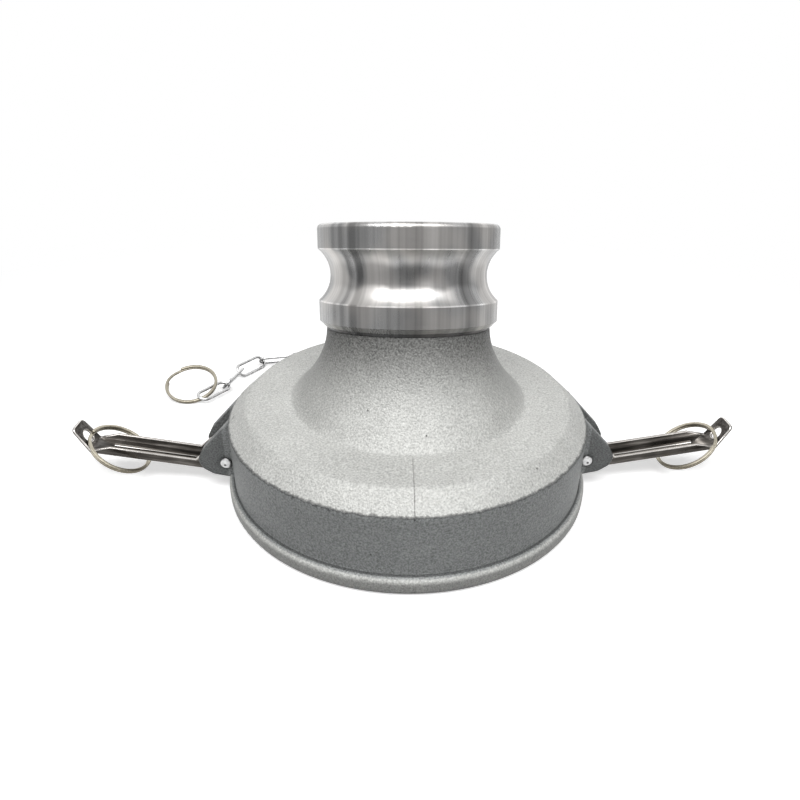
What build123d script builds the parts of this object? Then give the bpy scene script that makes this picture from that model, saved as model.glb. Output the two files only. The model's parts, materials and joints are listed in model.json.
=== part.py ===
from build123d import *
from math import cos, radians, sin, tan
import os

# All sizes are in millimetres. The origin is the centre of the bell's mouth, +Z points up,
# the levers lie along X and the neck leans back towards +Y.
os.makedirs("parts", exist_ok=True)

# Bell
socket_radius = 88.4
wall_thickness = 6.9
bead_step = 3.2
bead_land = 0.4
bead_height = 9.2
shoulder_step = 1.5
shoulder_run = 9.6
shoulder_rise = 9.0
shoulder_round = 2.5
face_inner_radius = 61.8
face_rise = 1.7
mouth_chamfer = 1.5

# Gasket and its recess
gasket_width = 13.7
gasket_thickness = 6.0
seat_height = 39.5
recess_depth = 1.5
recess_clearance = 0.1

# Leaning neck and waterway
lean_angle = 15
neck_step = 3.55
flare_length = 34.6
flare_steps = 6
flare_power = 1.8
throat_rise = 5.0
throat_wall = 4.8
throat_draft = 2.0
groove_wall = 4.25

# Machined adaptor head on the neck
head_radius = 45.75
relief_width = 1.6
relief_depth = 0.8
band_chamfer = 2.6
band_height = 12.7
groove_width = 25.1
groove_depth = 6.0
rim_height = 9.4
rim_round = 2.4

# Ears, pivot pins and the windows for the cam noses. Each corner of an ear is measured
# outward and upward from the pin's centre.
pin_offset = 2.7
pin_height = 16.7
pin_radius = 3.2
pin_stand_out = 1.3
pin_chamfer = 0.7
pivot_clearance = 0.05
ear_thickness = 6.5
ear_edge_chamfer = 0.8
ear_root = 4.0
ear_top_rise = 3.2
ear_top_corner = (12.0, 7.5)
ear_tip_corner = (15.2, 1.7)
ear_low_corner = (13.2, -3.7)
ear_toe_corner = (7.7, -7.6)
ear_foot_step = 1.0
ear_foot_sink = 2.2
ear_corner_round = 5.0
window_overrun = 1.0
window_sill_gap = 0.2
window_headroom = 0.7

# Levers
lever_width = 15.5
lever_side_gap = 1.0
lever_sheet = 1.6
lever_drop = 11.0
lever_rest_angle = 10
lever_channel_height = 5.2
stop_clearance = 0.2
hub_radius = 6.9
nose_reach = 15.6
nose_half_width = 5.5
hub_length = 13.0
hub_slope = 5.0
bend_distance = 74.2
tab_angle = 50
tab_length = 15.1
tab_inset = 1.25
tab_corner_round = 3.0
tab_hole_radius = 3.4
tab_hole_distance = 6.4
flange_taper = 10.0
rib_width = 2.6
rib_height = 1.0

# Split rings
ring_radius = 16.5
ring_width = 2.0
ring_depth = 1.5
ring_edge_round = 0.4
ring_split_width = 0.3
ring_split_depth = 0.35
pull_ring_hang = (15.49, 0.93, -8.94)
pull_ring_play = 1.4
pull_ring_normal = (0.73, -0.03, 1.0)
chain_ring_hang = (-11.4, 11.1, 2.95)
chain_ring_inset = 0.32
chain_ring_tilt = 20

# Tether lug and chain
lug_azimuth = 115
lug_stand = 9.2
lug_height = 13.3
lug_eye_radius = 3.6
lug_rim = 3.2
lug_thickness = 3.6
link_loop_radius = 4.4
link_wire_radius = 1.0
link_straight = 16.2
link_play = 0.95
link_headings = (109, 123, 151, 193, 235, 255, 235)
link_climbs = (-20, 0, -1, 0, 0, 0, 0)
link_rolls = (0, 52, 140, 45, 135, 48, 165)
link_entry_play = 0.5

# The bell's radii follow from the socket, and its heights from the gasket's seat.
wall_radius = socket_radius + wall_thickness
bead_radius = wall_radius + bead_step
bead_round = bead_step - bead_land
gasket_outer_radius = socket_radius + recess_depth
gasket_inner_radius = gasket_outer_radius - gasket_width
face_outer_radius = wall_radius - shoulder_run
shoulder_height = seat_height + shoulder_step
face_outer_height = shoulder_height + shoulder_rise
face_height = face_outer_height + face_rise
throat_height = seat_height + throat_rise
throat_radius = face_inner_radius - throat_wall
neck_radius = head_radius - neck_step
waterway_radius = head_radius - groove_depth - groove_wall

# The ears straddle the lever, and the window clears its hub and its nose.
pin_distance = wall_radius + pin_offset
ear_gap = lever_width + 2 * lever_side_gap
window_bottom = pin_height - hub_radius - window_sill_gap
window_top = pin_height + nose_reach + window_headroom
tab_width = lever_width - 2 * tab_inset
lug_distance = wall_radius + lug_stand
link_loop_offset = link_straight / 2
link_lock = 2 * (link_loop_radius - link_wire_radius) - link_play

lean = radians(lean_angle)
neck_base = Vector(0, 0, face_height)
neck_direction = Vector(0, sin(lean), cos(lean))
neck_section = Plane(origin=neck_base, x_dir=(1, 0, 0), z_dir=(0, -cos(lean), sin(lean)))
neck_axis = Axis(neck_base, neck_direction)
flare_end = neck_base + neck_direction * flare_length
half_gap = ear_gap / 2
pin_centre = Vector(pin_distance, pin_height)

# The bell is turned as one ring: rounded bead at the mouth, straight wall, sloped shoulder and flat face.
with BuildSketch(Plane.XZ) as bell_section:
    with BuildLine():
        Polyline(
            (0, 0),
            (bead_radius, 0),
            (bead_radius, bead_height),
            (wall_radius, bead_height),
            (wall_radius, shoulder_height),
            (face_outer_radius, face_outer_height),
            (face_inner_radius, face_height),
            (0, face_height),
            close=True,
        )
    make_face()
    bead_corners = bell_section.vertices().group_by(Axis.X)[-1]
    shoulder = bell_section.vertices().sort_by_distance((wall_radius, 0, shoulder_height))[0]
    face_rim = bell_section.vertices().sort_by_distance((face_outer_radius, 0, face_outer_height))[0]
    fillet(bead_corners, bead_round)
    fillet(shoulder, shoulder_round)
    fillet(face_rim, shoulder_round)

with BuildPart() as bell:
    revolve(bell_section.sketch, axis=Axis.Z)

# The neck starts as a level circle on the face and ends square to the leaning axis.
# Each circle leans a little more than the one below it.
with BuildPart() as flare:
    for step in range(flare_steps + 1):
        share = step / flare_steps
        tilt = lean * share
        radius = neck_radius + (face_inner_radius - neck_radius) * (1 - share) ** flare_power
        centre = neck_base + neck_direction * (flare_length * share)
        with BuildSketch(Plane(origin=centre, x_dir=(1, 0, 0), z_dir=(0, sin(tilt), cos(tilt)))):
            Circle(radius)
    loft()

# The throat inside follows the flare, from the level mouth up to the waterway.
throat_base = Vector(0, 0, throat_height)
throat_run = flare_end - throat_base
with BuildPart() as throat:
    for step in range(flare_steps + 1):
        share = step / flare_steps
        tilt = lean * share
        radius = waterway_radius + (throat_radius - waterway_radius) * (1 - share) ** flare_power
        centre = throat_base + throat_run * share
        with BuildSketch(Plane(origin=centre, x_dir=(1, 0, 0), z_dir=(0, sin(tilt), cos(tilt)))):
            Circle(radius)
    loft()

# The machined head is turned about the leaning axis: relief, band, cam groove and rim.
band_base = flare_length + relief_width
groove_base = band_base + band_height
rim_base = groove_base + groove_width
rim_top = rim_base + rim_height
head_top = rim_top + rim_round
with BuildPart() as head:
    with BuildSketch(neck_section):
        with BuildLine():
            Polyline(
                (head_radius, groove_base),
                (head_radius, band_base + band_chamfer),
                (head_radius - band_chamfer, band_base),
                (neck_radius - relief_depth, band_base),
                (neck_radius - relief_depth, flare_length),
                (0, flare_length),
                (0, head_top),
                (head_radius - rim_round, head_top),
            )
            RadiusArc((head_radius - rim_round, head_top), (head_radius, rim_top), rim_round)
            Line((head_radius, rim_top), (head_radius, rim_base))
            ThreePointArc(
                (head_radius, rim_base),
                (head_radius - groove_depth, groove_base + groove_width / 2),
                (head_radius, groove_base),
            )
        make_face()
    revolve(axis=neck_axis)

# One ear, mirrored to make the two pairs with the slot for a lever between each pair.
with BuildSketch(Plane.XZ) as ear_outline:
    with BuildLine():
        Polyline(
            (wall_radius - ear_root, shoulder_height + ear_top_rise),
            pin_centre + ear_top_corner,
            pin_centre + ear_tip_corner,
            pin_centre + ear_low_corner,
            pin_centre + ear_toe_corner,
            (wall_radius + ear_foot_step, bead_height - ear_foot_sink),
            (wall_radius - ear_root, bead_height - ear_foot_sink),
            close=True,
        )
    make_face()
    fillet(ear_outline.vertices().sort_by(Axis.X)[-4:], ear_corner_round)

with BuildPart() as ear:
    extrude(ear_outline.sketch, amount=ear_thickness, dir=(0, -1, 0))
    rim_edges = ear.faces().sort_by(Axis.Y)[0].edges().sort_by(Axis.X)[1:]
    chamfer(rim_edges, ear_edge_chamfer)

with BuildPart() as ears:
    with Locations((0, -half_gap, 0)):
        add(ear.part)
    mirror(about=Plane.XZ)
    mirror(about=Plane.YZ)

# The tether lug is a plate with an eye, standing out of the rear of the wall.
lug_plane = Plane(
    origin=(0, 0, 0),
    x_dir=(cos(radians(lug_azimuth)), sin(radians(lug_azimuth)), 0),
    z_dir=(sin(radians(lug_azimuth)), -cos(radians(lug_azimuth)), 0),
)
lug_outer = lug_eye_radius + lug_rim
with BuildPart() as lug:
    with BuildSketch(lug_plane):
        with Locations((lug_distance, lug_height)):
            Circle(lug_outer)
        with Locations(((wall_radius - ear_root + lug_distance) / 2, lug_height)):
            Rectangle(lug_distance - wall_radius + ear_root, 2 * lug_outer)
        with Locations((lug_distance, lug_height)):
            Circle(lug_eye_radius, mode=Mode.SUBTRACT)
    extrude(amount=lug_thickness / 2, both=True)

recess_radius = gasket_outer_radius + recess_clearance
gasket_bottom = seat_height - gasket_thickness
with BuildPart() as coupler_body:
    add(bell.part)
    add(flare.part)
    add(head.part)
    add(ears.part)
    add(lug.part)
    with BuildSketch(Plane.XZ):
        with BuildLine():
            Polyline(
                (0, 0),
                (socket_radius + mouth_chamfer, 0),
                (socket_radius, mouth_chamfer),
                (socket_radius, gasket_bottom),
                (recess_radius, gasket_bottom),
                (recess_radius, seat_height),
                (gasket_inner_radius, seat_height),
                (gasket_inner_radius - throat_draft, throat_height),
                (0, throat_height),
                close=True,
            )
        make_face()
    revolve(axis=Axis.Z, mode=Mode.SUBTRACT)
    add(throat.part, mode=Mode.SUBTRACT)
    with BuildSketch(Plane(origin=flare_end, x_dir=(1, 0, 0), z_dir=tuple(neck_direction))):
        Circle(waterway_radius)
    extrude(amount=head_top, mode=Mode.SUBTRACT)
    with Locations((0, 0, (window_bottom + window_top) / 2)):
        Box(
            2 * (wall_radius + window_overrun),
            ear_gap,
            window_top - window_bottom,
            mode=Mode.SUBTRACT,
        )
    with BuildSketch(Plane.XZ.offset(-half_gap - 2 * ear_thickness)):
        with Locations((pin_distance, pin_height), (-pin_distance, pin_height)):
            Circle(pin_radius)
    extrude(amount=ear_gap + 4 * ear_thickness, mode=Mode.SUBTRACT)
coupler_body.part.label = "coupler_body"
export_step(coupler_body.part, "parts/coupler_body.step")

with BuildPart() as gasket:
    with Locations((0, 0, seat_height - gasket_thickness / 2)):
        Cylinder(gasket_outer_radius, gasket_thickness)
        Cylinder(gasket_inner_radius, gasket_thickness, mode=Mode.SUBTRACT)
gasket.part.label = "gasket"
export_step(gasket.part, "parts/gasket.step")

# The pin bridges both ears of a pair and stands out a little on each side.
pin_length = ear_gap + 2 * ear_thickness + 2 * pin_stand_out
with BuildPart() as pivot_pin_left:
    with Locations(Location((-pin_distance, 0, pin_height), (90, 0, 0))):
        Cylinder(pin_radius, pin_length)
    chamfer(pivot_pin_left.edges().filter_by(GeomType.CIRCLE), pin_chamfer)
pivot_pin_left.part.label = "pivot_pin_left"
export_step(pivot_pin_left.part, "parts/pivot_pin_left.step")

with BuildPart() as pivot_pin_right:
    mirror(pivot_pin_left.part, about=Plane.YZ)
pivot_pin_right.part.label = "pivot_pin_right"
export_step(pivot_pin_right.part, "parts/pivot_pin_right.step")

# The lever is drawn from its side, with the pivot at zero and its own length along x.
# At rest its heel stands just clear of the bead, which stops it there.
rest = radians(lever_rest_angle)
lever_plane = Plane(
    origin=(-pin_distance, 0, pin_height),
    x_dir=(-cos(rest), 0, sin(rest)),
    z_dir=(0, 1, 0),
)
heel = (bead_radius + stop_clearance - pin_distance - lever_drop * sin(rest)) / cos(rest)
web_top = lever_sheet - lever_drop
flange_top = lever_channel_height - lever_drop
bend = radians(tab_angle)
tab_tip = (bend_distance + tab_length * cos(bend), tab_length * sin(bend) - lever_drop)
tab_inner_tip = (tab_tip[0] - lever_sheet * sin(bend), tab_tip[1] + lever_sheet * cos(bend))
inner_bend = bend_distance - lever_sheet * tan(bend / 2)
with BuildPart() as arm_left:
    with BuildSketch(lever_plane):
        with BuildLine():
            Polyline(
                (heel, -lever_drop),
                (bend_distance, -lever_drop),
                tab_tip,
                tab_inner_tip,
                (inner_bend, web_top),
                (inner_bend - flange_taper, flange_top),
                (hub_length + hub_slope, flange_top),
                (nose_half_width, nose_reach - nose_half_width),
                (-nose_half_width, nose_reach - nose_half_width),
                (-nose_half_width, 0),
                (heel, -hub_radius),
                close=True,
            )
        make_face()
        Circle(hub_radius)
        with Locations((0, nose_reach - nose_half_width)):
            Circle(nose_half_width)
    extrude(amount=lever_width / 2, both=True)
    # The channel is pressed hollow between its two flanges.
    with BuildSketch(lever_plane):
        with BuildLine():
            Polyline(
                (hub_length, web_top),
                (inner_bend, web_top),
                (inner_bend, nose_reach),
                (hub_length, nose_reach),
                close=True,
            )
        make_face()
    extrude(amount=lever_width / 2 - lever_sheet, both=True, mode=Mode.SUBTRACT)
    # A low rib runs along the floor of the channel.
    with BuildSketch(lever_plane):
        with Locations(((hub_length + inner_bend - flange_taper) / 2, web_top)):
            Rectangle(inner_bend - flange_taper - hub_length, 2 * rib_height)
    extrude(amount=rib_width / 2, both=True)
    with BuildSketch(lever_plane):
        Circle(pin_radius + pivot_clearance)
    extrude(amount=lever_width, both=True, mode=Mode.SUBTRACT)
    # The tab narrows from the channel's width to its own and is pierced for the pull ring.
    tab_plane = Plane(
        origin=lever_plane.from_local_coords((bend_distance, -lever_drop, 0)),
        x_dir=lever_plane.x_dir * cos(bend) + lever_plane.y_dir * sin(bend),
        z_dir=lever_plane.y_dir * cos(bend) - lever_plane.x_dir * sin(bend),
    )
    with BuildSketch(tab_plane):
        with Locations((tab_hole_distance, 0)):
            Circle(tab_hole_radius)
    extrude(amount=2 * lever_sheet, both=True, mode=Mode.SUBTRACT)
    with BuildSketch(tab_plane):
        with BuildLine():
            Polyline(
                (tab_length + tab_corner_round, lever_width),
                (0, lever_width),
                (0, lever_width / 2),
                (tab_length, tab_width / 2),
                (tab_length, -tab_width / 2),
                (0, -lever_width / 2),
                (0, -lever_width),
                (tab_length + tab_corner_round, -lever_width),
                close=True,
            )
        make_face()
    extrude(amount=2 * lever_sheet, both=True, mode=Mode.SUBTRACT)
    tip_corners = arm_left.edges().filter_by(Axis((0, 0, 0), tab_plane.z_dir))
    fillet(tip_corners.sort_by(Axis.X)[:2], tab_corner_round)
arm_left.part.label = "arm_left"
export_step(arm_left.part, "parts/arm_left.step")

with BuildPart() as arm_right:
    mirror(arm_left.part, about=Plane.YZ)
arm_right.part.label = "arm_right"
export_step(arm_right.part, "parts/arm_right.step")

# Each split ring is a flat coil; a fine groove round the outside marks where its turns meet.
def split_ring(plane):
    with BuildPart() as ring:
        with BuildSketch(plane):
            Circle(ring_radius + ring_depth / 2)
            Circle(ring_radius - ring_depth / 2, mode=Mode.SUBTRACT)
        extrude(amount=ring_width / 2, both=True)
        fillet(ring.edges(), ring_edge_round)
        with BuildSketch(plane):
            Circle(ring_radius + ring_depth)
            Circle(ring_radius + ring_depth / 2 - ring_split_depth, mode=Mode.SUBTRACT)
        extrude(amount=ring_split_width / 2, both=True, mode=Mode.SUBTRACT)
    return ring.part


# Each pull ring hangs from the middle of the hole in its lever's tab.
tab_hole = tab_plane.from_local_coords((tab_hole_distance, 0, lever_sheet / 2))
pull_ring_centre = tab_hole + Vector(*pull_ring_hang).normalized() * (ring_radius + pull_ring_play)
pull_ring_left = split_ring(Plane(origin=pull_ring_centre, z_dir=pull_ring_normal))
pull_ring_left.label = "pull_ring_left"
export_step(pull_ring_left, "parts/pull_ring_left.step")

with BuildPart() as pull_ring_right:
    mirror(pull_ring_left, about=Plane.YZ)
pull_ring_right.part.label = "pull_ring_right"
export_step(pull_ring_right.part, "parts/pull_ring_right.step")

# A chain link is one round wire bent into a long oval: two straight sides and two half loops.
with BuildPart() as link:
    with BuildLine():
        Line((-link_loop_offset, -link_loop_radius), (link_loop_offset, -link_loop_radius))
        ThreePointArc(
            (link_loop_offset, -link_loop_radius),
            (link_loop_offset + link_loop_radius, 0),
            (link_loop_offset, link_loop_radius),
        )
        Line((link_loop_offset, link_loop_radius), (-link_loop_offset, link_loop_radius))
        ThreePointArc(
            (-link_loop_offset, link_loop_radius),
            (-link_loop_offset - link_loop_radius, 0),
            (-link_loop_offset, -link_loop_radius),
        )
    with BuildSketch(Plane(origin=(-link_loop_offset, -link_loop_radius, 0), z_dir=(1, 0, 0))):
        Circle(link_wire_radius)
    sweep()

# The links follow one another from the lug's eye, each held by the loop of the one before.
lug_direction = Vector(cos(radians(lug_azimuth)), sin(radians(lug_azimuth)), 0)
loop_centre = lug_direction * lug_distance + Vector(0, 0, lug_height)
reach = lug_eye_radius + lug_rim / 2 + link_entry_play
previous = None
for number, (heading, climb, roll) in enumerate(zip(link_headings, link_climbs, link_rolls), start=1):
    heading_angle, climb_angle, roll_angle = radians(heading), radians(climb), radians(roll)
    along = Vector(
        cos(heading_angle) * cos(climb_angle),
        sin(heading_angle) * cos(climb_angle),
        sin(climb_angle),
    )
    if previous is None:
        loop_centre = loop_centre + along * reach
    else:
        loop_centre = loop_centre + (along + previous).normalized() * link_lock
    side = Vector(0, 0, 1).cross(along).normalized()
    upward = along.cross(side)
    facing = upward * cos(roll_angle) - side * sin(roll_angle)
    middle = loop_centre + along * link_loop_offset
    placed = Plane(origin=middle, x_dir=along, z_dir=facing).location * link.part
    placed.label = f"chain_link_{number:02d}"
    export_step(placed, f"parts/chain_link_{number:02d}.step")
    loop_centre = middle + along * link_loop_offset
    previous = along

# The last loop holds the split ring at the chain's free end.
ring_lean = radians(chain_ring_tilt)
chain_ring_centre = loop_centre + Vector(*chain_ring_hang).normalized() * (ring_radius - chain_ring_inset)
chain_ring = split_ring(Plane(origin=chain_ring_centre, z_dir=(0, -sin(ring_lean), cos(ring_lean))))
chain_ring.label = "chain_ring"
export_step(chain_ring, "parts/chain_ring.step")
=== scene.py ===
import json
from math import cos, radians, sin

import bmesh
import bpy
import numpy as np
from mathutils import Matrix, Vector


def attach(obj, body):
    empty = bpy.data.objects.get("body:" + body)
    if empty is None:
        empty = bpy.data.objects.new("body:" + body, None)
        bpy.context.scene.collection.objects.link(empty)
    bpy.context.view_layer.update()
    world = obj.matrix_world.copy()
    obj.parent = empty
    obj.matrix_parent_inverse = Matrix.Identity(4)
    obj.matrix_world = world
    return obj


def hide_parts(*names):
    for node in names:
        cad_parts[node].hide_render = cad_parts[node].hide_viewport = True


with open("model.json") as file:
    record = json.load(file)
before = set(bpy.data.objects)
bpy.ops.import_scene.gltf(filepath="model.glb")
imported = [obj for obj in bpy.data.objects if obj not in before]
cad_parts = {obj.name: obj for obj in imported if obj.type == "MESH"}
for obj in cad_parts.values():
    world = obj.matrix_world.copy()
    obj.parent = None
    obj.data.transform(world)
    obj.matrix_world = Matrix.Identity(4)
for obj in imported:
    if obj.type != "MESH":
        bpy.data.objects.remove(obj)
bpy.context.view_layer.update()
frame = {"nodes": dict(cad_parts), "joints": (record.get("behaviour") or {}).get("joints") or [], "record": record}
nodes = frame["nodes"]
mounts = {mount["name"]: mount for mount in frame["record"]["mounts"]}
joints = {joint["name"]: joint for joint in frame["joints"]}
print("frame loaded with", len(nodes), "nodes")

# The photograph was taken from above and in front, with a phone's wide lens. In degrees, orbit turns
# the camera about the bell's upright axis, pitch lifts its view from straight down, and roll tilts it.
cameraView = {
    "place": (0.0, -0.30964, 0.2135),
    "orbit": -2.24,
    "pitch": 59.6,
    "roll": 0.88,
    "sensorWidth": 36,
    "lens": 29.25,
    "shiftX": -0.0094,
    "shiftY": 0.0293,
    "nearest": 0.01,
}
lens = bpy.data.cameras.new("camera")
lens.sensor_width = cameraView["sensorWidth"]
lens.lens = cameraView["lens"]
lens.shift_x = cameraView["shiftX"]
lens.shift_y = cameraView["shiftY"]
lens.clip_start = cameraView["nearest"]
camera = bpy.data.objects.new("camera", lens)
orbit = Matrix.Rotation(radians(cameraView["orbit"]), 4, "Z")
pitch = Matrix.Rotation(radians(cameraView["pitch"]), 4, "X")
roll = Matrix.Rotation(radians(cameraView["roll"]), 4, "Z")
camera.matrix_world = orbit @ Matrix.Translation(cameraView["place"]) @ pitch @ roll
bpy.context.scene.collection.objects.link(camera)
bpy.context.scene.camera = camera
print("camera placed")

# The neck leans back from the bell. Lengths along it are measured from the middle of its rim.
neckMount = mounts["outlet_adaptor"]
neckAxis = Vector(neckMount["axis"])
neckMiddle = Vector(neckMount["pos_m"])
waterwayRadius = mounts["waterway"]["dims"]["r_mm"] / 1000
wallThickness = 0.0069
wallRadius = mounts["tank_socket"]["dims"]["r_mm"] / 1000 + wallThickness
headSizes = {
    "rimTop": 0.0047,
    "grooveTop": -0.0047,
    "grooveBottom": -0.0298,
    "bandBottom": -0.0425,
    "reliefBottom": -0.0441,
}
bellSizes = {
    "beadHeight": 0.0092,
    "shoulderHeight": 0.041,
    "faceOuterRadius": 0.0857,
    "faceOuterHeight": 0.050,
    "faceInnerRadius": 0.0618,
    "faceInnerHeight": 0.0517,
}


class Value:
    # a node's output; plus, minus, times and divide on it each add one Math node
    def __init__(self, finish, socket):
        self.finish = finish
        self.socket = socket

    def join(self, operation, first, second):
        return self.finish.node("ShaderNodeMath", {"operation": operation}, {0: first, 1: second})

    def __add__(self, other):
        return self.join("ADD", self, other)

    def __radd__(self, other):
        return self.join("ADD", other, self)

    def __sub__(self, other):
        return self.join("SUBTRACT", self, other)

    def __rsub__(self, other):
        return self.join("SUBTRACT", other, self)

    def __mul__(self, other):
        return self.join("MULTIPLY", self, other)

    def __rmul__(self, other):
        return self.join("MULTIPLY", other, self)

    def __truediv__(self, other):
        return self.join("DIVIDE", self, other)

    def __rtruediv__(self, other):
        return self.join("DIVIDE", other, self)

    def __abs__(self):
        return self.join("ABSOLUTE", self, 0.0)

    def atLeast(self, other):
        return self.join("MAXIMUM", self, other)


class Finish:
    # a node tree, of a new material or of the world, and the ways to fill it
    def __init__(self, name, world=None):
        self.owner = world or bpy.data.materials.new(name)
        self.owner.use_nodes = True
        self.tree = self.owner.node_tree
        self.tree.nodes.clear()
        if not world:
            self.place = self.node("ShaderNodeTexCoord", output="Object")
            self.facing = self.node("ShaderNodeTexCoord", output="Normal")

    def node(self, kind, settings=None, inputs=None, output=0):
        made = self.tree.nodes.new(kind)
        for name, setting in (settings or {}).items():
            if name == "stops":
                ramp = made.color_ramp
                ramp.elements.remove(ramp.elements[1])
                ramp.elements[0].position, ramp.elements[0].color = setting[0]
                for position, colour in setting[1:]:
                    ramp.elements.new(position).color = colour
            else:
                setattr(made, name, setting)
        for name, given in (inputs or {}).items():
            if isinstance(given, Value):
                self.tree.links.new(given.socket, made.inputs[name])
            else:
                made.inputs[name].default_value = given
        return Value(self, made.outputs[output])

    def grain(self, size, vector=None, detail=2.0, roughness=0.5):
        # noise whose spots are about size wide
        given = {"Vector": vector or self.place, "Scale": 1 / size, "Detail": detail, "Roughness": roughness}
        return self.node("ShaderNodeTexNoise", {}, given)

    def dots(self, spacing):
        # how far each point is from the nearest of many random points, as a share of their spacing
        given = {"Vector": self.place, "Scale": 1 / spacing}
        return self.node("ShaderNodeTexVoronoi", {}, given, output="Distance")

    def step(self, value, start, end):
        # 0 before start, 1 after end, smooth between
        given = {"Value": value, "From Min": start, "From Max": end, "To Min": 0.0, "To Max": 1.0}
        return self.node("ShaderNodeMapRange", {"interpolation_type": "SMOOTHSTEP"}, given)

    def line(self, value, middle, width):
        # 1 near middle, falling to 0 at width on either side
        return 1 - self.step(abs(value - middle), width * 0.4, width)

    def mix(self, share, first, second):
        # sockets 6 and 7 take the two colours, and output 2 gives the mixed one
        given = {0: share, 6: first, 7: second}
        return self.node("ShaderNodeMix", {"data_type": "RGBA"}, given, output=2)

    def ramp(self, value, stops):
        return self.node("ShaderNodeValToRGB", {"stops": stops}, {"Fac": value})

    def rgb(self, red, green, blue):
        return self.node("ShaderNodeCombineColor", {}, {0: red, 1: green, 2: blue})

    def split(self, vector):
        return (self.node("ShaderNodeSeparateXYZ", {}, {0: vector}, output=axis) for axis in "XYZ")

    def vector(self, operation, first, second=None, output="Vector"):
        given = {0: first} if second is None else {0: first, 1: second}
        return self.node("ShaderNodeVectorMath", {"operation": operation}, given, output)

    def length(self, vector):
        return self.vector("LENGTH", vector, output="Value")

    def scale(self, vector, amount):
        return self.node("ShaderNodeVectorMath", {"operation": "SCALE"}, {0: vector, "Scale": amount})

    def bump(self, height, distance, strength=1.0, normal=None):
        given = {"Height": height, "Distance": distance, "Strength": strength}
        if normal:
            given["Normal"] = normal
        return self.node("ShaderNodeBump", {}, given)

    def surface(self, inputs):
        self.finishWith(self.node("ShaderNodeBsdfPrincipled", {}, inputs), "ShaderNodeOutputMaterial")
        return self.owner

    def finishWith(self, shader, kind):
        last = self.tree.nodes.new(kind)
        self.tree.links.new(shader.socket, last.inputs["Surface"])


def grey(level, warmth=0.0):
    return (level * (1 + warmth), level, level * (1 - warmth), 1.0)


# Soft light from above and a little in front; floor and background show white to the camera.
lamps = {
    "overhead": {
        "place": (-0.05, -0.40, 1.0),
        "aim": (0, 0, 0.03),
        "wide": 1.3,
        "deep": 0.55,
        "power": 12.0,
    },
    "front": {
        "place": (0.4, -0.9, 0.7),
        "aim": (0, 0, 0.05),
        "wide": 0.5,
        "deep": 0.5,
        "power": 1.0,
    },
    "rear": {
        "place": (0.0, 0.95, 0.45),
        "aim": (0, 0, 0.05),
        "wide": 1.0,
        "deep": 0.6,
        "power": 1.2,
    },
}
studio = {
    "worldStrength": 0.12,
    "floorBounce": 0.2,
    "floorColour": 0.8,
    "floorGlow": 0.55,
    "floorReach": 3.0,
    "whiteFrom": 0.22,
    "whiteAt": 0.55,
}


def seenWhite(finish):
    # 1 for the rays that show the background: to the camera, mirrored, or through glass
    kinds = ("Is Camera Ray", "Is Glossy Ray", "Is Transmission Ray")
    seen, mirrored, through = (finish.node("ShaderNodeLightPath", output=kind) for kind in kinds)
    return seen.atLeast(mirrored).atLeast(through)


def makeFloor():
    mesh = bpy.data.meshes.new("floor")
    far = studio["floorReach"]
    mesh.from_pydata([(-far, -far, 0), (far, -far, 0), (far, far, 0), (-far, far, 0)], [], [(0, 1, 2, 3)])
    floor = bpy.data.objects.new("floor", mesh)
    bpy.context.scene.collection.objects.link(floor)
    finish = Finish("paleFloor")
    matt = finish.node("ShaderNodeBsdfDiffuse", {}, {"Color": grey(studio["floorColour"])})
    glow = finish.node("ShaderNodeEmission", {}, {"Color": grey(1.0), "Strength": studio["floorGlow"]})
    near = finish.node("ShaderNodeAddShader", {}, {0: matt, 1: glow})
    white = finish.node("ShaderNodeEmission", {}, {"Color": grey(1.0), "Strength": 1.0})
    away = finish.step(finish.length(finish.place), studio["whiteFrom"], studio["whiteAt"])
    shown = finish.node("ShaderNodeMixShader", {}, {0: away, 1: near, 2: white})
    plain = finish.node("ShaderNodeBsdfDiffuse", {}, {"Color": grey(studio["floorBounce"])})
    mixed = finish.node("ShaderNodeMixShader", {}, {0: seenWhite(finish), 1: plain, 2: shown})
    finish.finishWith(mixed, "ShaderNodeOutputMaterial")
    mesh.materials.append(finish.owner)


def makeWorld():
    world = bpy.data.worlds.new("studio")
    bpy.context.scene.world = world
    finish = Finish("studio", world)
    dim = finish.node("ShaderNodeBackground", {}, {"Color": grey(1.0), "Strength": studio["worldStrength"]})
    white = finish.node("ShaderNodeBackground", {}, {"Color": grey(1.0), "Strength": 1.0})
    mixed = finish.node("ShaderNodeMixShader", {}, {0: seenWhite(finish), 1: dim, 2: white})
    finish.finishWith(mixed, "ShaderNodeOutputWorld")


def hangLamp(name, look):
    lamp = bpy.data.lights.new(name, "AREA")
    lamp.shape = "RECTANGLE"
    lamp.size, lamp.size_y = look["wide"], look["deep"]
    lamp.energy = look["power"]
    lit = bpy.data.objects.new(name, lamp)
    lit.location = look["place"]
    lit.rotation_euler = (Vector(look["aim"]) - Vector(look["place"])).to_track_quat("-Z", "Y").to_euler()
    bpy.context.scene.collection.objects.link(lit)


makeFloor()
makeWorld()
for name, look in lamps.items():
    hangLamp(name, look)
bpy.context.scene.view_settings.view_transform = "Standard"
print("studio lit")


def neckPlaces(finish):
    # each point's height along the leaning axis, its distance across from it, and the way round it
    fromNeck = finish.vector("SUBTRACT", finish.place, tuple(neckMiddle))
    along = finish.vector("DOT_PRODUCT", fromNeck, tuple(neckAxis), output="Value")
    turned = finish.vector("CROSS_PRODUCT", fromNeck, tuple(neckAxis))
    return along, finish.length(turned), finish.vector("NORMALIZE", turned)


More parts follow.
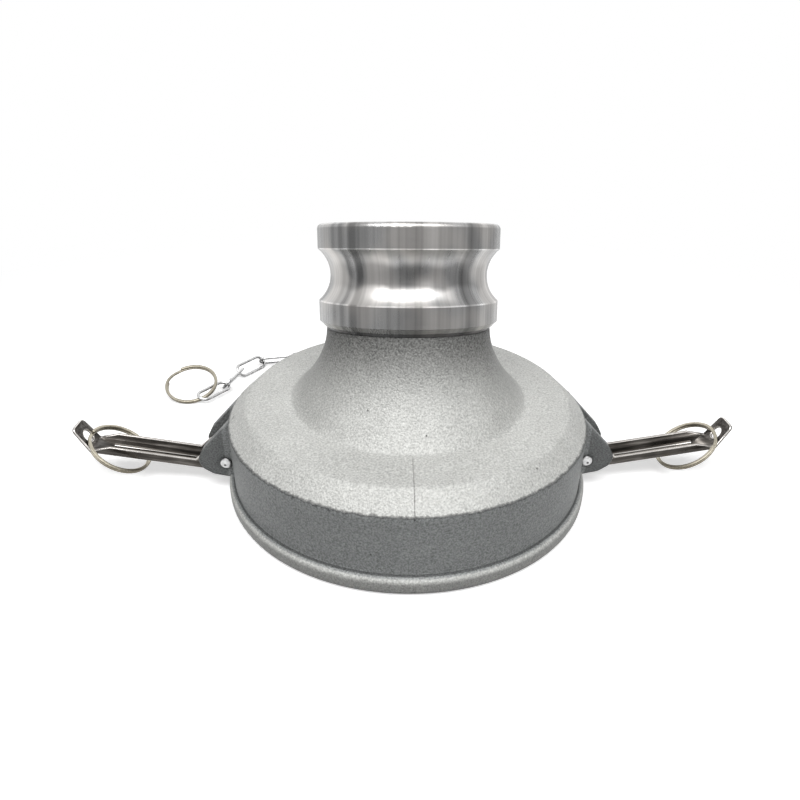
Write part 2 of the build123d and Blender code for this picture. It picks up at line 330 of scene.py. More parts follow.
# A pair is where a region fades in, from its first value to its second: out from the upright axis,
# across from the leaning axis, along it, to the side of the middle, or by how far the face looks up.
castLook = {
    "faceLevel": 0.55,
    "sparkleSize": 0.0009,
    "sparkle": 0.72,
    "cloudSize": 0.03,
    "clouds": 0.15,
    "pitSpacing": 0.009,
    "pitChosen": (0.58, 0.60),
    "pitEdge": (0.028, 0.07),
    "pitDark": 0.45,
    "wallOut": (wallRadius - 0.0026, wallRadius - 0.0014),
    # painted shade: the wall's colour is this share of the face's
    "wallShadeShare": 0.47,
    "wallCool": 0.03,
    "wallSparkle": 0.5,
    "beadTop": (bellSizes["beadHeight"] - 0.0008, bellSizes["beadHeight"]),
    "underUp": (-0.3, 0.8),
    # painted shade on the bead's downward side
    "beadUndersideShade": 0.55,
    "creaseHeight": bellSizes["beadHeight"] + 0.0003,
    "creaseWidth": 0.0009,
    "creaseOut": (wallRadius + 0.0006, wallRadius + 0.0010),
    # painted shadow in the crease where the wall meets the bead
    "creaseShadow": 0.5,
    "earOut": (wallRadius + 0.0034, wallRadius + 0.0044),
    # painted shade: the ears' colour is this share of the face's
    "earShadeShare": 0.62,
    "neckAlong": (-0.083, -0.047),
    "neckAcross": (0.053, 0.063),
    # painted shade: the neck's colour falls to this share towards the band
    "neckShadeShare": 0.45,
    "neckSparkle": 1.9,
    "flareAcross": (0.056, 0.064),
    "steepUp": (0.1, 0.62),
    # painted shade on the flare's steep faces
    "steepShade": 0.42,
    "flankSide": (0.028, 0.055),
    "flankUp": (0.75, 0.97),
    # painted shade on the flare's sides
    "flankShade": 0.22,
    "partingHeight": bellSizes["shoulderHeight"] + 0.0004,
    "partingFade": 0.0003,
    "faceFade": 0.0004,
    "partingWidth": 0.0007,
    "partingDark": 0.5,
    "raggedSize": 0.0035,
    "ragged": 0.0024,
    "seamOut": (0.062, 0.064),
    "seamWidth": 0.00045,
    "seamDark": 0.08,
    "redShare": 0.995,
    "blueShare": 0.965,
    "sparkleRise": 0.7,
    "cloudRise": 0.5,
    "pitDepth": 1.5,
    "roughness": 0.5,
    "roughSpread": 0.2,
    "gloss": 0.25,
    "metallic": 0.2,
    "edgeRound": 0.004,
    "edgeSamples": 4,
    "grainDepth": 0.0005,
    "grainStrength": 0.9,
}


def castSkin(finish, look, along, across):
    # blasted casting: fine sparkle over broad clouds, ragged at the parting line; painted shade darkens the wall,
    # ears and neck, the flare's steep faces and sides, the bead's underside and the crease above the bead
    x, y, z = finish.split(finish.place)
    _, _, up = finish.split(finish.facing)
    out = finish.length(finish.node("ShaderNodeCombineXYZ", {}, {0: x, 1: y}))
    sparkle = finish.grain(look["sparkleSize"], detail=1.5, roughness=0.6)
    clouds = finish.grain(look["cloudSize"], detail=3.0, roughness=0.6)
    chosen = finish.step(finish.grain(look["pitSpacing"] * 2, detail=0.0), *look["pitChosen"])
    pits = chosen * (1 - finish.step(finish.dots(look["pitSpacing"]), *look["pitEdge"]))

    edge = look["partingHeight"]
    ragged = z + (finish.grain(look["raggedSize"], detail=3.0, roughness=0.7) - 0.5) * look["ragged"]
    above = finish.step(z, edge, edge + look["faceFade"])
    outside = finish.step(out, *look["wallOut"])
    bead = 1 - finish.step(z, *look["beadTop"])
    below = 1 - finish.step(ragged, edge - look["partingFade"], edge + look["partingFade"])
    wall = outside * below * (1 - bead)
    parting = outside * finish.line(ragged, edge, look["partingWidth"])
    ear = finish.step(out, *look["earOut"])
    neck = finish.step(along, *look["neckAlong"]) * (1 - finish.step(across, *look["neckAcross"]))
    flare = (1 - finish.step(across, *look["flareAcross"])) * above
    steep = (1 - finish.step(up, *look["steepUp"])) * flare
    flank = finish.step(abs(x), *look["flankSide"]) * (1 - finish.step(up, *look["flankUp"])) * flare
    seam = finish.line(x, 0.0, look["seamWidth"]) * finish.step(out, *look["seamOut"]) * above
    under = bead * outside * (1 - finish.step(up, *look["underUp"]))
    crease = finish.line(z, look["creaseHeight"], look["creaseWidth"]) * outside
    crease = crease * (1 - finish.step(out, *look["creaseOut"]))

    crisp = 1 + steep * look["neckSparkle"] + wall * look["wallSparkle"]
    level = look["faceLevel"] + (sparkle - 0.5) * look["sparkle"] * crisp + (clouds - 0.5) * look["clouds"]
    # painted shade: the wall and the ears are darkened to a share of the face's colour
    level = level * (1 - wall * (1 - look["wallShadeShare"])) * (1 - ear * (1 - look["earShadeShare"]))
    # painted shade: the neck towards the band and the flare's steep faces are darkened
    level = level * (1 - neck * (1 - look["neckShadeShare"])) * (1 - steep * look["steepShade"])
    # painted shade on the flare's sides; pits are darkened too
    level = level * (1 - flank * look["flankShade"]) * (1 - pits * look["pitDark"])
    level = level * (1 - seam * look["seamDark"]) * (1 - parting * look["partingDark"])
    # painted shade on the bead's underside and painted shadow in the crease above it
    level = level * (1 - under * look["beadUndersideShade"]) * (1 - crease * look["creaseShadow"])
    cool = wall.atLeast(ear) * look["wallCool"]
    colour = finish.rgb(level * (look["redShare"] - cool), level, level * (look["blueShare"] + cool))
    height = sparkle * look["sparkleRise"] + clouds * look["cloudRise"] - pits * look["pitDepth"]
    return colour, height, look["roughness"] + (sparkle - 0.5) * look["roughSpread"]


# Pairs as above. The groove has a low, a middle and a high part, as shares of its height.
headLook = {
    "headFrom": (headSizes["reliefBottom"] - 0.0001, headSizes["reliefBottom"] + 0.0001),
    "boreAcross": (waterwayRadius, waterwayRadius + 0.0005),
    "boreHeight": (0.06, 0.09),
    # painted reflections: soft blocks and streaks along the axis
    "blockSize": 0.42,
    "blockTall": 22.0,
    "blockEdge": (0.38, 0.62),
    "blockShare": 0.6,
    "plainShare": 0.35,
    "streakSize": 0.2,
    "streakEdge": (0.3, 0.7),
    "streakShare": 0.7,
    "fineStreakSize": 0.035,
    "fineShare": 0.35,
    "ringCount": 2600,
    "ringShare": 0.08,
    "waverSize": 0.25,
    "waver": 0.006,
    "grooveFade": 0.0002,
    "rimFade": 0.0001,
    # painted reflection levels for the groove's parts, rim and band; the drops darken them towards the front and
    # back
    "lowEnd": (0.24, 0.38),
    "lowLevel": 0.36,
    "middleLevel": 0.36,
    "middleDrop": 0.22,
    "highStart": (0.66, 0.84),
    "highLevel": 0.40,
    "highDrop": 0.08,
    "rimLevel": 0.27,
    "rimDrop": 0.09,
    "bandLevel": 0.36,
    "bandDrop": 0.20,
    # painted highlight lines at the groove's edges and round the rim's top
    "topLine": 0.0004,
    "bottomLine": 0.0005,
    "crownLine": 0.0014,
    "crownShare": 0.4,
    "edgeHighlightLevel": 0.7,
    "edgeLeast": 0.35,
    "edgeStreaks": 0.8,
    # painted highlight on the band's chamfer and painted shade in the relief below it
    "chamferTop": (headSizes["bandBottom"] + 0.0021, headSizes["bandBottom"] + 0.0029),
    "chamferHighlight": 0.9,
    "reliefTop": (headSizes["bandBottom"] - 0.0002, headSizes["bandBottom"] + 0.0004),
    "reliefShade": 0.85,
    "warmth": 0.015,
    "tint": 0.03,
    "roughness": 0.3,
    "fineRough": 0.12,
    "blockRough": 0.06,
    "cutDepth": 0.05,
}


def turnedSkin(finish, look, along, around):
    # lathe-cut head with turning rings; its colour carries painted reflections: soft blocks and streaks along the
    # axis, a groove dark in its middle, all darker towards the front and back, with painted highlight lines at its
    # edges, a painted highlight on the band's chamfer and painted shade in the relief under it
    sideways, _, _ = finish.split(around)
    frontness = sideways * sideways
    lifted = finish.vector("ADD", around, finish.scale(tuple(neckAxis), along * look["blockTall"]))
    # painted reflections: soft blocks, and streaks along the axis
    reflectionBlocks = finish.step(finish.grain(look["blockSize"], vector=lifted, detail=1.0), *look["blockEdge"])
    reflectionStreaks = finish.grain(look["streakSize"], vector=around, detail=3.0, roughness=0.65)
    reflectionStreaks = finish.step(reflectionStreaks, *look["streakEdge"])
    fine = finish.grain(look["fineStreakSize"], vector=around, detail=1.0)
    rings = finish.node("ShaderNodeTexNoise", {"noise_dimensions": "1D"}, {"W": along * look["ringCount"]})

    grooveTop, grooveBottom = headSizes["grooveTop"], headSizes["grooveBottom"]
    bent = along + (finish.grain(look["waverSize"], vector=around, detail=1.0) - 0.5) * look["waver"]
    share = (bent - grooveBottom) / (grooveTop - grooveBottom)
    inGroove = finish.step(along, grooveBottom, grooveBottom + look["grooveFade"])
    inGroove = inGroove * (1 - finish.step(along, grooveTop - look["grooveFade"], grooveTop))
    inRim = finish.step(along, grooveTop - look["rimFade"], grooveTop + look["rimFade"])
    low = 1 - finish.step(share, *look["lowEnd"])
    high = finish.step(share, *look["highStart"])
    middle = 1 - low - high
    # painted reflection: the groove is dark in its middle, and groove, rim and band darken towards the front and
    # back
    grooveReflection = low * look["lowLevel"] + high * (look["highLevel"] - frontness * look["highDrop"])
    grooveReflection = grooveReflection + middle * (look["middleLevel"] - frontness * look["middleDrop"])
    rimLevel = look["rimLevel"] - frontness * look["rimDrop"]
    bandLevel = look["bandLevel"] - frontness * look["bandDrop"]
    level = grooveReflection * inGroove + rimLevel * inRim + bandLevel * (1 - inGroove - inRim)
    blocky = look["blockShare"] * (look["plainShare"] + (1 - look["plainShare"]) * inGroove)
    level = level * (1 + (reflectionBlocks - 0.5) * blocky + (reflectionStreaks - 0.5) * look["streakShare"])
    level = level * (1 + (fine - 0.5) * look["fineShare"] + (rings - 0.5) * look["ringShare"])
    # painted highlights: bright lines along the groove's edges and round the rim's top
    bright = finish.line(along, grooveTop, look["topLine"])
    bright = bright.atLeast(finish.line(along, grooveBottom, look["bottomLine"]))
    crownHighlight = finish.line(along, headSizes["rimTop"] + look["crownLine"], look["crownLine"])
    bright = bright.atLeast(crownHighlight * look["crownShare"])
    edgeHighlightLevel = look["edgeHighlightLevel"] * (look["edgeLeast"] + look["edgeStreaks"] * reflectionStreaks)
    level = level * (1 - bright) + bright * edgeHighlightLevel
    # painted highlight on the band's chamfer, painted shade in the relief under it
    level = level * (1 + (1 - finish.step(along, *look["chamferTop"])) * look["chamferHighlight"])
    level = level * (1 - (1 - finish.step(along, *look["reliefTop"])) * look["reliefShade"])
    tint = look["warmth"] + (reflectionBlocks - 0.5) * look["tint"]
    colour = finish.rgb(level * (1 + tint), level, level * (1 - tint))
    roughness = look["roughness"] + (fine - 0.5) * look["fineRough"] + (reflectionBlocks - 0.5) * look["blockRough"]
    return colour, (rings + fine) * look["cutDepth"], roughness


def castAluminium(look, turnedLook):
    # one casting, blasted all over and then turned bright on its head and down its bore
    finish = Finish("castAluminium")
    along, across, around = neckPlaces(finish)
    _, _, z = finish.split(finish.place)
    bore = (1 - finish.step(across, *turnedLook["boreAcross"])) * finish.step(z, *turnedLook["boreHeight"])
    machined = finish.step(along, *turnedLook["headFrom"]).atLeast(bore)
    castColour, castHeight, castRoughness = castSkin(finish, look, along, across)
    turnedColour, turnedHeight, turnedRoughness = turnedSkin(finish, turnedLook, along, around)
    rounded = finish.node("ShaderNodeBevel", {"samples": look["edgeSamples"]}, {"Radius": look["edgeRound"]})
    straight = finish.node("ShaderNodeNewGeometry", output="Normal")
    normal = finish.mix(machined, rounded, straight)
    height = castHeight * (1 - machined) + turnedHeight * machined
    return finish.surface({
        "Base Color": finish.mix(machined, castColour, turnedColour),
        "Roughness": castRoughness * (1 - machined) + turnedRoughness * machined,
        "Metallic": look["metallic"] + machined * (1 - look["metallic"]),
        "Normal": finish.bump(height, look["grainDepth"], look["grainStrength"], normal),
        "Specular IOR Level": look["gloss"],
    })


def metalFinish(name, look):
    # scratched and smudged metal, with painted light: brighter where it faces up, darker below
    finish = Finish(name)
    stretched = finish.vector("MULTIPLY", finish.place, look["stretch"])
    scratches = finish.grain(look["scratchSize"], vector=stretched, detail=2.0)
    smudges = finish.grain(look["smudgeSize"], detail=2.0)
    _, _, up = finish.split(finish.facing)
    share = scratches * look["scratchShare"] + smudges * look["smudgeShare"]
    # painted light: brighter where the face looks up, darker below
    share = share + up * look["upward"] + look["least"]
    return finish.surface({
        "Base Color": finish.ramp(share, look["stops"]),
        "Roughness": look["roughness"] + (smudges - 0.5) * look["roughSpread"],
        "Metallic": 1.0,
        "Normal": finish.bump(scratches, look["depth"], look["strength"]),
    })


# painted highlight: a brighter copy of the lever steel for its rounded edges; the ring and chain wire start from
# it
edgeHighlightLook = {
    "stretch": (0.12, 1.0, 1.0),
    "scratchSize": 0.0007,
    "scratchShare": 0.5,
    "smudgeSize": 0.012,
    "smudgeShare": 0.3,
    "upward": 0.1,
    "least": 0.1,
    "stops": [(0.3, grey(0.30, 0.06)), (0.6, grey(0.62, 0.04))],
    "roughness": 0.18,
    "roughSpread": 0.2,
    "depth": 0.00005,
    "strength": 0.5,
}
evenStretch = (1.0, 1.0, 1.0)
ringLook = dict(
    edgeHighlightLook,
    stretch=evenStretch,
    upward=0.25,
    stops=[
        (0.25, (0.07, 0.06, 0.045, 1)),
        (0.5, (0.18, 0.16, 0.12, 1)),
        (0.72, (0.42, 0.39, 0.32, 1)),
    ],
    roughness=0.33,
)
chainLook = dict(
    edgeHighlightLook,
    stretch=evenStretch,
    scratchSize=0.002,
    upward=0.35,
    stops=[(0.3, grey(0.06)), (0.48, grey(0.28)), (0.64, grey(0.62))],
    roughness=0.2,
)


# Pairs as above: up and out are measured from the pin, square to the lever and along it.
leverLook = {
    "pinDistance": abs(joints["lever_left_pivot"]["pos_m"][0]),
    "pinHeight": joints["lever_left_pivot"]["pos_m"][2],
    "restAngle": 10,
    "brushStretch": 0.06,
    "scratchSize": 0.0009,
    "scratchShare": 0.6,
    "smudgeSize": 0.012,
    "smudgeShare": 0.4,
    "stops": [(0.32, grey(0.04, 0.10)), (0.5, grey(0.10, 0.09)), (0.66, grey(0.22, 0.07))],
    "channelStart": (0.014, 0.015),
    "channelEnd": (0.072, 0.073),
    # painted highlights on the flange tops and the rib
    "flangeTop": (-0.0062, -0.0060),
    "flangeShare": 0.65,
    "ribTop": (-0.0089, -0.0087),
    "ribSide": (0.0012, 0.0016),
    "ribShare": 0.35,
    "foldLeast": 0.7,
    "foldScratches": 0.6,
    "foldHighlightColour": (0.42, 0.38, 0.33, 1.0),
    "tabStart": (0.073, 0.075),
    "tabDark": 0.45,
    # painted shade on the flanges' outer faces
    "sideFrom": (0.00755, 0.00765),
    "sideShade": 0.35,
    "roughness": 0.3,
    "roughSpread": 0.2,
    "depth": 0.00006,
    "strength": 0.5,
}


def leverSteel(look):
    # pressed sheet: dark brushed floor and sides, with painted highlight lines on the flange tops and the rib, and
    # painted shade on the flanges' outer faces
    finish = Finish("pressedStainless")
    x, y, z = finish.split(finish.place)
    fromPin = look["pinDistance"] - abs(x)
    rest = radians(look["restAngle"])
    up = fromPin * sin(rest) + (z - look["pinHeight"]) * cos(rest)
    out = (z - look["pinHeight"]) * sin(rest) - fromPin * cos(rest)
    brushed = finish.node("ShaderNodeCombineXYZ", {}, {0: out * look["brushStretch"], 1: y, 2: up})
    scratches = finish.grain(look["scratchSize"], vector=brushed, detail=3.0)
    smudges = finish.grain(look["smudgeSize"], detail=2.0)
    share = scratches * look["scratchShare"] + smudges * look["smudgeShare"]
    inChannel = finish.step(out, *look["channelStart"]) * (1 - finish.step(out, *look["channelEnd"]))
    # painted highlights on the flange tops and the rib
    flange = finish.step(up, *look["flangeTop"])
    rib = finish.step(up, *look["ribTop"]) * (1 - finish.step(abs(y), *look["ribSide"]))
    foldHighlights = (flange * look["flangeShare"]).atLeast(rib * look["ribShare"]) * inChannel
    foldHighlights = foldHighlights * (look["foldLeast"] + look["foldScratches"] * scratches)
    colour = finish.mix(foldHighlights, finish.ramp(share, look["stops"]), look["foldHighlightColour"])
    tab = finish.step(out, *look["tabStart"])
    # painted shade on the flanges' outer faces
    side = finish.step(abs(y), *look["sideFrom"])
    return finish.surface({
        "Base Color": finish.scale(colour, (1 - tab * look["tabDark"]) * (1 - side * look["sideShade"])),
        "Roughness": look["roughness"] + (smudges - 0.5) * look["roughSpread"],
        "Metallic": 1.0,
        "Normal": finish.bump(scratches, look["depth"], look["strength"]),
    })


pinLook = {
    "level": 0.55,
    "smudges": 0.5,
    "smudgeSize": 0.0016,
    "rimEdge": (0.0026, 0.0031),
    # painted shade round the dome's rim and in the dent
    "rimShade": 0.75,
    "dentPlace": (0.0004, -0.0007, 0.0),
    "dentEdge": (0.00045, 0.0009),
    "dentShade": 0.8,
    "depth": 0.0002,
    "strength": 0.6,
    "roughness": 0.3,
}


def pinSteel(look):
    # bright domed end, with painted shade darkening its rim and a small dent beside its middle; the dent is also
    # bumped
    finish = Finish("pinSteel")
    x, _, z = finish.split(finish.place)
    fromPin = {0: abs(x) - leverLook["pinDistance"], 1: z - leverLook["pinHeight"]}
    flat = finish.node("ShaderNodeCombineXYZ", {}, fromPin)
    rim = finish.step(finish.length(flat), *look["rimEdge"])
    fromDent = finish.length(finish.vector("SUBTRACT", flat, look["dentPlace"]))
    dent = 1 - finish.step(fromDent, *look["dentEdge"])
    smudges = finish.grain(look["smudgeSize"], detail=3.0)
    level = look["level"] + (smudges - 0.5) * look["smudges"]
    # painted shade at the rim and in the dent
    level = level * (1 - rim * look["rimShade"]) * (1 - dent * look["dentShade"])
    return finish.surface({
        "Base Color": finish.rgb(level, level, level),
        "Roughness": look["roughness"],
        "Metallic": 1.0,
        "Normal": finish.bump(smudges - dent, look["depth"], look["strength"]),
    })


rubberLook = {
    "bloomSize": 0.01,
    "stops": [(0.3, grey(0.018)), (0.7, grey(0.04))],
    "roughness": 0.6,
    "roughSpread": 0.2,
    "grainSize": 0.0008,
    "depth": 0.0001,
    "strength": 0.4,
}


def rubber(look):
    finish = Finish("nitrile")
    bloom = finish.grain(look["bloomSize"], detail=3.0)
    return finish.surface({
        "Base Color": finish.ramp(bloom, look["stops"]),
        "Roughness": look["roughness"] + bloom * look["roughSpread"],
        "Normal": finish.bump(finish.grain(look["grainSize"]), look["depth"], look["strength"]),
    })


castFinish = castAluminium(castLook, headLook)
edgeHighlightFinish = metalFinish("highlightedEdge", edgeHighlightLook)
ringFinish = metalFinish("ringWire", ringLook)
chainFinish = metalFinish("chainWire", chainLook)
leverFinish = leverSteel(leverLook)
pinFinish = pinSteel(pinLook)
finishes = {
    "coupler_body": castFinish,
    "gasket": rubber(rubberLook),
    "arm_": leverFinish,
    "pivot_pin_": pinFinish,
    "pull_ring_": ringFinish,
    "chain_ring": ringFinish,
    "chain_link_": chainFinish,
}
for name, node in nodes.items():
    for start, finish in finishes.items():
        if name.startswith(start):
            node.data.materials.clear()
            node.data.materials.append(finish)
print("finishes made")


def gridMesh(name, points, capped=False, closedAlong=False):
    # points is a rows x columns x 3 grid; each cell becomes one quad, and columns close on themselves
    rows, columns = points.shape[:2]
    row, column = np.meshgrid(np.arange(rows if closedAlong else rows - 1), np.arange(columns), indexing="ij")
    nextRow, nextColumn = (row + 1) % rows, (column + 1) % columns
    corners = [row * columns + column, row * columns + nextColumn]
    corners += [nextRow * columns + nextColumn, nextRow * columns + column]
    faces = np.stack(corners, -1).reshape(-1, 4).tolist()
    if capped:
        faces.append(np.arange(columns)[::-1].tolist())
        faces.append((np.arange(columns) + (rows - 1) * columns).tolist())
    mesh = bpy.data.meshes.new(name)
    mesh.from_pydata(points.reshape(-1, 3).tolist(), [], faces)
    mesh.polygons.foreach_set("use_smooth", np.ones(len(mesh.polygons), bool))
    made = bpy.data.objects.new(name, mesh)
    bpy.context.scene.collection.objects.link(made)
    return made


def addPiece(made, finish, body, node=None):
    made.data.materials.append(finish)
    if node:
        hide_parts(node)
    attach(made, body)


def basisOf(normal):
    # two directions square to normal and to each other, then normal itself
    normal = np.array(normal, float) / np.linalg.norm(normal)
    first = np.cross((0.0, 1.0, 0.0), normal)
    first = first / np.linalg.norm(first)
    return first, np.cross(normal, first), normal


def ringOf(corners):
    # the angles of a section's corners, once round
    return np.linspace(0, 2 * np.pi, corners, endpoint=False)


def waves(t, count, low, high, seed):
    # sum of sines of random whole periods between low and high, scaled to about -1 to 1
    dice = np.random.default_rng(seed)
    period, start = dice.integers(low, high, count), dice.uniform(0, 2 * np.pi, count)
    return np.sin(t[:, None] * period + start).sum(1) / np.sqrt(count)


splitRing = {
    "radius": 0.0165,
    "radial": 0.0019,
    "axial": 0.0013,
    "squareness": 3.2,
    "gapAngle": 24.0,
    "climb": 1.02,
    "spread": 0.00025,
    "endShare": 0.55,
    "endAngle": 4.0,
    "steps": 260,
    "corners": 20,
    "leftTurn": 200,
    "rightTurn": -20,
    "chainTurn": 150,
}


def splitRingPiece(side, node, body, spin):
    # Flat wire, two turns: radius R at angle t, height -a/2 on the first turn and +a/2 on the second,
    # with one smooth step between. The section is a superellipse |u|^n + |v|^n = 1.
    gap = radians(splitRing["gapAngle"])
    t = np.linspace(gap, 4 * np.pi - gap, splitRing["steps"])
    share = np.clip((t - 2 * np.pi + gap) / (2 * gap), 0, 1)
    rise = (share * share * (3 - 2 * share) - 0.5) * splitRing["axial"] * splitRing["climb"]
    ends = np.clip(np.minimum(t - t[0], t[-1] - t) / radians(splitRing["endAngle"]), 0, 1)
    slim = splitRing["endShare"] + (1 - splitRing["endShare"]) * np.sqrt(ends)
    s = ringOf(splitRing["corners"])
    power = 2 / splitRing["squareness"]
    u = np.sign(np.cos(s)) * np.abs(np.cos(s)) ** power * splitRing["radial"] / 2
    v = np.sign(np.sin(s)) * np.abs(np.sin(s)) ** power * splitRing["axial"] / 2
    first, second, up = basisOf(spin["axis"])
    around = t + radians(splitRing[side + "Turn"])
    out = np.cos(around)[:, None] * first + np.sin(around)[:, None] * second
    loose = splitRing["spread"] * (share - 0.5)
    radius = splitRing["radius"] + loose[:, None] + u[None, :] * slim[:, None]
    height = rise[:, None] + v[None, :] * slim[:, None]
    points = np.array(spin["pos_m"]) + radius[..., None] * out[:, None, :] + height[..., None] * up
    addPiece(gridMesh("splitRing_" + side, points, capped=True), ringFinish, body, node)


for side in ("left", "right"):
    splitRingPiece(side, "pull_ring_" + side, "ring_" + side, joints["pull_ring_" + side + "_spin"])
splitRingPiece("chain", "chain_ring", "chain_end_ring", joints["chain_ring_spin"])
print("split rings wound")


levers = {"weld": 1e-6, "flatWithin": 1.0, "sharper": 30, "rounding": 0.00055, "segments": 3}


def pressedLever(side):
    # the lever's own shape with rounded edges, which catch the lamps and carry a painted highlight in their
    # brighter finish
    mesh = nodes["arm_" + side].data.copy()
    made = bpy.data.objects.new("pressedLever_" + side, mesh)
    bpy.context.scene.collection.objects.link(made)
    form = bmesh.new()
    form.from_mesh(mesh)
    bmesh.ops.remove_doubles(form, verts=form.verts, dist=levers["weld"])
    flat = radians(levers["flatWithin"])
    bmesh.ops.dissolve_limit(form, angle_limit=flat, verts=form.verts, edges=form.edges)
    weight = form.edges.layers.float.new("bevel_weight_edge")
    for edge in form.edges:
        edge[weight] = float(edge.is_convex and edge.calc_face_angle(0) > radians(levers["sharper"]))
    form.to_mesh(mesh)
    form.free()
    mesh.materials.clear()
    mesh.polygons.foreach_set("material_index", np.zeros(len(mesh.polygons), np.int32))
    mesh.polygons.foreach_set("use_smooth", np.ones(len(mesh.polygons), bool))
    addPiece(made, leverFinish, "lever_" + side, "arm_" + side)
    # painted highlight: the rounded edges take the brighter edge finish
    mesh.materials.append(edgeHighlightFinish)
    rounding = made.modifiers.new("rounding", "BEVEL")
    rounding.width = levers["rounding"]
    rounding.segments = levers["segments"]
    rounding.limit_method = "WEIGHT"
    rounding.use_clamp_overlap = False
    rounding.material = 1
    rounding.harden_normals = True


for side in ("left", "right"):
    pressedLever(side)
print("levers pressed")


pivotPin = {
    "radius": 0.0032,
    "halfLength": 0.01655,
    "dome": 0.0011,
    "fullness": 0.7,
    "tip": 0.00002,
    "rings": 9,
    "corners": 48,
}


def domedPin(side):
    # A rod along Y turned from a profile: radius R in the middle, and at each end a dome. Over a
    # quarter turn its radius is R times a power of the cosine, and its rise follows the sine.
    a = np.linspace(0, np.pi / 2, pivotPin["rings"])
    radius = np.maximum(pivotPin["radius"] * np.cos(a) ** pivotPin["fullness"], pivotPin["tip"])
    height = pivotPin["halfLength"] - pivotPin["dome"] * (1 - np.sin(a))
    radius = np.concatenate([radius[::-1], radius])
    height = np.concatenate([-height[::-1], height])
    s = ringOf(pivotPin["corners"])
    points = np.empty((len(radius), len(s), 3))
    centre = joints["lever_" + side + "_pivot"]["pos_m"]
    points[..., 0] = centre[0] + radius[:, None] * np.sin(s)
    points[..., 1] = height[:, None]
    points[..., 2] = centre[2] + radius[:, None] * np.cos(s)
    node = "pivot_pin_" + side
    addPiece(gridMesh("domedPin_" + side, points, capped=True), pinFinish, "bell", node)


for side in ("left", "right"):
    domedPin(side)
print("pins turned")


# Waves are given as their count and the range of their periods.
seamRidge = {
    "width": 0.00028,
    "height": 0.00022,
    "sink": 0.0002,
    "start": 0.0635,
    "lap": 0.0016,
    "steps": 240,
    "corners": 12,
    "bend": 0.0009,
    "bendSamples": 15,
    "swell": 0.75,
    "swellSpread": 0.25,
    "swellWaves": (7, 4, 40),
    "startFade": 0.002,
    "endFade": 0.0008,
    "fadeRange": (0.1, 1),
    "blob": 0.8,
    "blobWidth": 0.0007,
    "drift": 0.00006,
    "driftWaves": (5, 2, 12),
}


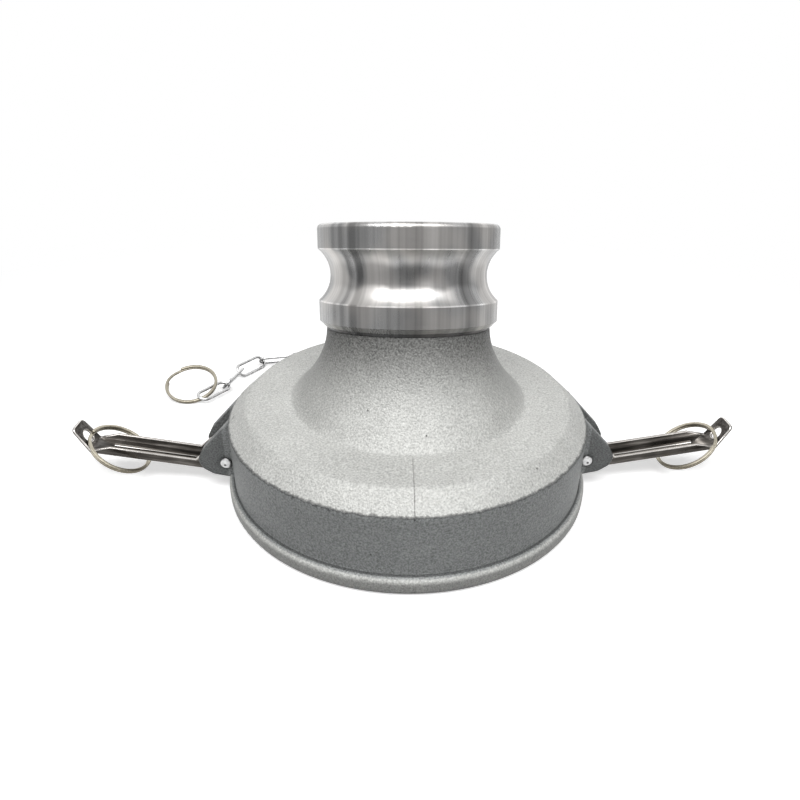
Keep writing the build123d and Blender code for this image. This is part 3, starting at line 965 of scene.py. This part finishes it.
def castSeam(name, way, seed):
    # A thin fin where the two halves of the mould met: the bell's profile from flare to shoulder,
    # carried as an ellipse that wanders and swells, and fat at the shoulder's edge.
    faceRadii = (bellSizes["faceInnerRadius"], bellSizes["faceOuterRadius"])
    faceHeights = (bellSizes["faceInnerHeight"], bellSizes["faceOuterHeight"])
    corners = np.array([
        (seamRidge["start"], np.interp(seamRidge["start"], faceRadii, faceHeights)),
        (bellSizes["faceOuterRadius"], bellSizes["faceOuterHeight"]),
        (wallRadius, bellSizes["shoulderHeight"]),
        (wallRadius, bellSizes["shoulderHeight"] - seamRidge["lap"]),
    ])
    run = np.concatenate([[0], np.cumsum(np.linalg.norm(np.diff(corners, axis=0), axis=1))])
    t = np.linspace(0, run[-1], seamRidge["steps"])
    near = t[:, None] + np.linspace(-1, 1, seamRidge["bendSamples"]) * seamRidge["bend"]
    radius = np.interp(near, run, corners[:, 0]).mean(1)
    height = np.interp(near, run, corners[:, 1]).mean(1)
    slope = np.stack([np.gradient(radius), np.gradient(height)], -1)
    slope = slope / np.linalg.norm(slope, axis=1, keepdims=True)
    outward = np.stack([-slope[:, 1], slope[:, 0]], -1)
    angle = t / run[-1] * 2 * np.pi
    swell = seamRidge["swell"] + seamRidge["swellSpread"] * waves(angle, *seamRidge["swellWaves"], seed)
    swell = swell * np.clip(t / seamRidge["startFade"], *seamRidge["fadeRange"])
    swell = swell * np.clip((run[-1] - t) / seamRidge["endFade"], *seamRidge["fadeRange"])
    swell = swell * (1 + seamRidge["blob"] * np.exp(-((t - run[2]) / seamRidge["blobWidth"]) ** 2))
    s = ringOf(seamRidge["corners"])
    across = np.cos(s)[None, :] * (seamRidge["width"] * swell)[:, None]
    across = across + seamRidge["drift"] * waves(angle, *seamRidge["driftWaves"], seed + 1)[:, None]
    lift = (np.sin(s)[None, :] * seamRidge["sink"] + seamRidge["height"] / 2) * swell[:, None]
    points = np.empty((len(t), len(s), 3))
    points[..., 0] = across
    points[..., 1] = way * (radius[:, None] + lift * outward[:, :1])
    points[..., 2] = height[:, None] + lift * outward[:, 1:]
    if way < 0:
        points = points[:, ::-1]
    addPiece(gridMesh(name, points, capped=True), castFinish, "bell")


castSeam("castSeam_front", -1, 5)
castSeam("castSeam_rear", 1, 11)

# Waves are given as their count, the range of their periods and their seed.
partingFin = {
    "radial": 0.00045,
    "tall": 0.00045,
    "inset": 0.000385,
    "outward": 0.4,
    "drop": 0.0002,
    "swell": 0.45,
    "fineSwell": 0.35,
    "fineWaves": (14, 30, 240, 21),
    "broadSwell": 0.2,
    "broadWaves": (8, 5, 30, 22),
    "swellRange": (0.08, 1.3),
    "drift": 0.00022,
    "driftWaves": (9, 12, 90, 23),
    "steps": 1400,
    "corners": 10,
}


def partingFlash():
    # A ragged fin round the top of the wall: a circle whose section, an ellipse, grows and shrinks
    # with the angle and wanders up and down.
    t = ringOf(partingFin["steps"])
    fine = partingFin["fineSwell"] * waves(t, *partingFin["fineWaves"])
    broad = partingFin["broadSwell"] * waves(t, *partingFin["broadWaves"])
    swell = np.clip(partingFin["swell"] + fine + broad, *partingFin["swellRange"])
    drift = partingFin["drift"] * waves(t, *partingFin["driftWaves"])
    level = bellSizes["shoulderHeight"] - partingFin["drop"] + drift
    s = ringOf(partingFin["corners"])
    out = (np.cos(s)[None, :] + partingFin["outward"]) * (partingFin["radial"] * swell)[:, None]
    radius = wallRadius - partingFin["inset"] + out
    height = level[:, None] + np.sin(s)[None, :] * (partingFin["tall"] * swell)[:, None]
    points = np.stack([radius * np.cos(t)[:, None], radius * np.sin(t)[:, None], height], -1)
    made = gridMesh("partingFlash", points[:, ::-1], closedAlong=True)
    addPiece(made, castFinish, "bell")


partingFlash()
print("casting fins raised")

bpy.context.view_layer.update()
